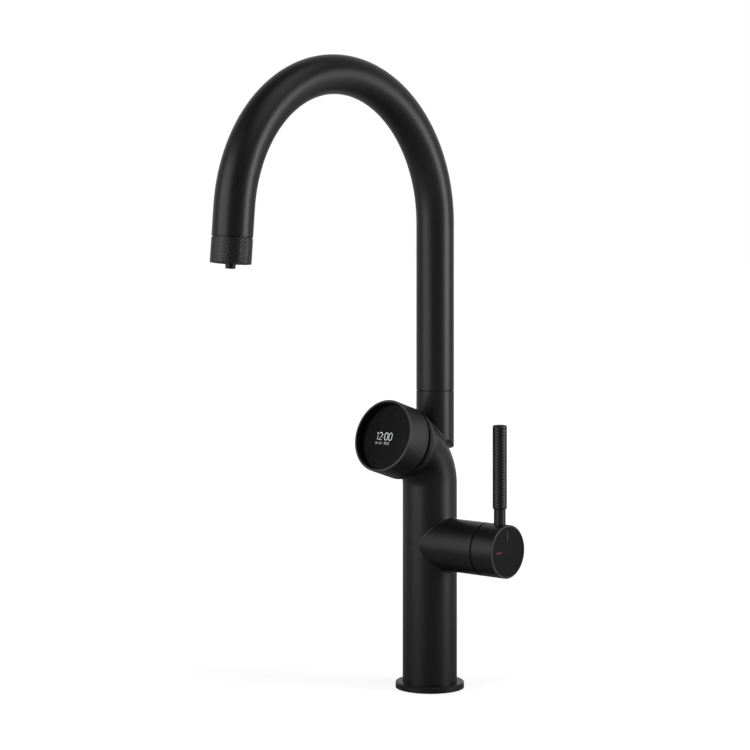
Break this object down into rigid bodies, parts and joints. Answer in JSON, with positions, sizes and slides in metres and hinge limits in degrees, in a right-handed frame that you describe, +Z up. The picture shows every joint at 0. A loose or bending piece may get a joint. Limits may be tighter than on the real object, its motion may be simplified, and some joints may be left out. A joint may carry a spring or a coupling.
{
  "type": "kitchen mixer tap",
  "caption": "Deck-mounted kitchen mixer tap with a tall column, a swivelling arched spout, a side lever and a round push-and-turn knob with a display.",
  "frame": {"origin": "centre of the base flange's underside, on the column's axis", "axes": "+Z up along the column, -Y the way the spout and the knob face, +X along the mixer branch to the lever's side"},
  "size_m": [0.1149, 0.2793, 0.528],
  "materials": {
    "matte_black": "fine matte black coat over brass",
    "knurled_black": "matte black over a diamond knurl",
    "nozzle_black": "satin black",
    "display_glass": "polished black display window",
    "display": "black display module",
    "brass": "machined",
    "copper": "drawn copper tube",
    "steel": "turned stainless steel",
    "spring_steel": "drawn spring wire",
    "rubber": "black sealing rubber",
    "glide_plastic": "black low-friction plastic",
    "white_plastic": "moulded",
    "grey_plastic": "moulded",
    "ceramic": "lapped alumina",
    "circuit_board": "solder mask",
    "blue_enamel": "inlaid enamel",
    "red_enamel": "inlaid enamel"
  },
  "bodies": {
    "tap_body": {"base_flange": "matte_black", "base_gasket": "rubber", "base_insert": "brass", "column_screw": "steel", "column_body": "matte_black", "valve_body": "brass", "port_seals": "rubber", "fixed_disc": "ceramic", "cartridge_housing": "white_plastic", "cartridge_nut": "brass", "cap_glide_ring": "glide_plastic", "mixed_water_tube": "copper", "filtered_water_tube": "copper", "filtered_inlet": "brass", "spout_socket": "brass", "swivel_washer": "glide_plastic", "spout_stop_screw": "steel", "knob_carrier": "glide_plastic", "encoder_board": "circuit_board", "board_screws": "steel", "cable_socket": "white_plastic", "press_switch": "grey_plastic", "return_spring": "spring_steel"},
    "spout": {"spout_nipple": "brass", "nipple_seals": "rubber", "nipple_glide_rings": "white_plastic", "spout_tube": "matte_black", "inner_water_tube": "steel", "outlet_adapter": "nozzle_black", "aerator_collar": "knurled_black", "aerator_gasket": "rubber", "aerator_insert": "grey_plastic", "aerator_screen": "steel", "drinking_nozzle": "nozzle_black"},
    "handle": {"moving_disc": "ceramic", "cartridge_stem": "brass", "handle_cap": "matte_black", "handle_screw": "steel", "index_plate": "matte_black", "cold_mark": "blue_enamel", "hot_mark": "red_enamel", "lever_rod": "matte_black", "lever_grip": "knurled_black"},
    "knob_plunger": {"display_carrier": "grey_plastic", "switch_button": "glide_plastic", "display_module": "display", "display_glass": "display_glass", "knob_bearing": "white_plastic", "knob_retainer": "spring_steel"},
    "knob_dial": {"knob_ring": "matte_black", "magnet_ring": "glide_plastic"}
  },
  "joints": [
    {"name": "spout_swivel", "type": "hinge", "parent": "tap_body", "child": "spout", "pos_m": [0, 0.007, 0.251], "axis": [0, 0, 1], "range_deg": [-75, 75]},
    {"name": "handle_turn", "type": "hinge", "parent": "tap_body", "child": "handle", "pos_m": [0.0735, 0, 0.1225], "axis": [1, 0, 0], "range_deg": [0, 90]},
    {"name": "knob_press", "type": "slide", "parent": "tap_body", "child": "knob_plunger", "axis": [0, 0.9537, -0.3007], "range_m": [0, 0.0008], "stiffness_N_per_m": 2500, "springref_m": -0.001, "deforming": ["return_spring"]},
    {"name": "knob_turn", "type": "hinge", "parent": "knob_plunger", "child": "knob_dial", "pos_m": [0, -0.05999, 0.21691], "axis": [0, -0.9537, 0.3007], "continuous": true}
  ]
}
